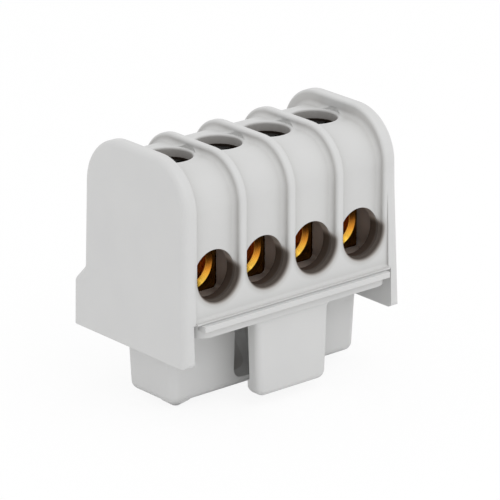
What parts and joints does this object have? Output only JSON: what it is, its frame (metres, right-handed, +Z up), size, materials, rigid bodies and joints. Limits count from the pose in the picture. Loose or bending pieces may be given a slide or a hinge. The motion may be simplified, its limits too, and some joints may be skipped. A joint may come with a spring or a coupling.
{
  "type": "terminal strip",
  "caption": "Ribbed moulded terminal strip with screw clamps on a common brass bar, a latch tab and a plug-in foot.",
  "frame": {"origin": "under the middle of the strip, at the height of the pip's lower end", "axes": "+X along the strip, +Y from the wire entries to the back, +Z up towards the screws"},
  "size_m": [0.045, 0.0294, 0.043],
  "materials": {
    "moulding": "fine satin",
    "brass": "machined",
    "black_steel": "blackened"
  },
  "bodies": {
    "strip": {"housing": "moulding", "base": "moulding", "terminal_bar": "brass"},
    "clamp_screw_1": {"clamp_screw_1": "black_steel"},
    "clamp_screw_2": {"clamp_screw_2": "black_steel"},
    "clamp_screw_3": {"clamp_screw_3": "black_steel"},
    "clamp_screw_4": {"clamp_screw_4": "black_steel"}
  },
  "joints": [
    {"name": "screw_1_travel", "type": "slide", "parent": "strip", "child": "clamp_screw_1", "axis": [0, 0, -1], "range_m": [0, 0.0052]},
    {"name": "screw_2_travel", "type": "slide", "parent": "strip", "child": "clamp_screw_2", "axis": [0, 0, -1], "range_m": [0, 0.0052]},
    {"name": "screw_3_travel", "type": "slide", "parent": "strip", "child": "clamp_screw_3", "axis": [0, 0, -1], "range_m": [0, 0.0052]},
    {"name": "screw_4_travel", "type": "slide", "parent": "strip", "child": "clamp_screw_4", "axis": [0, 0, -1], "range_m": [0, 0.0052]}
  ]
}
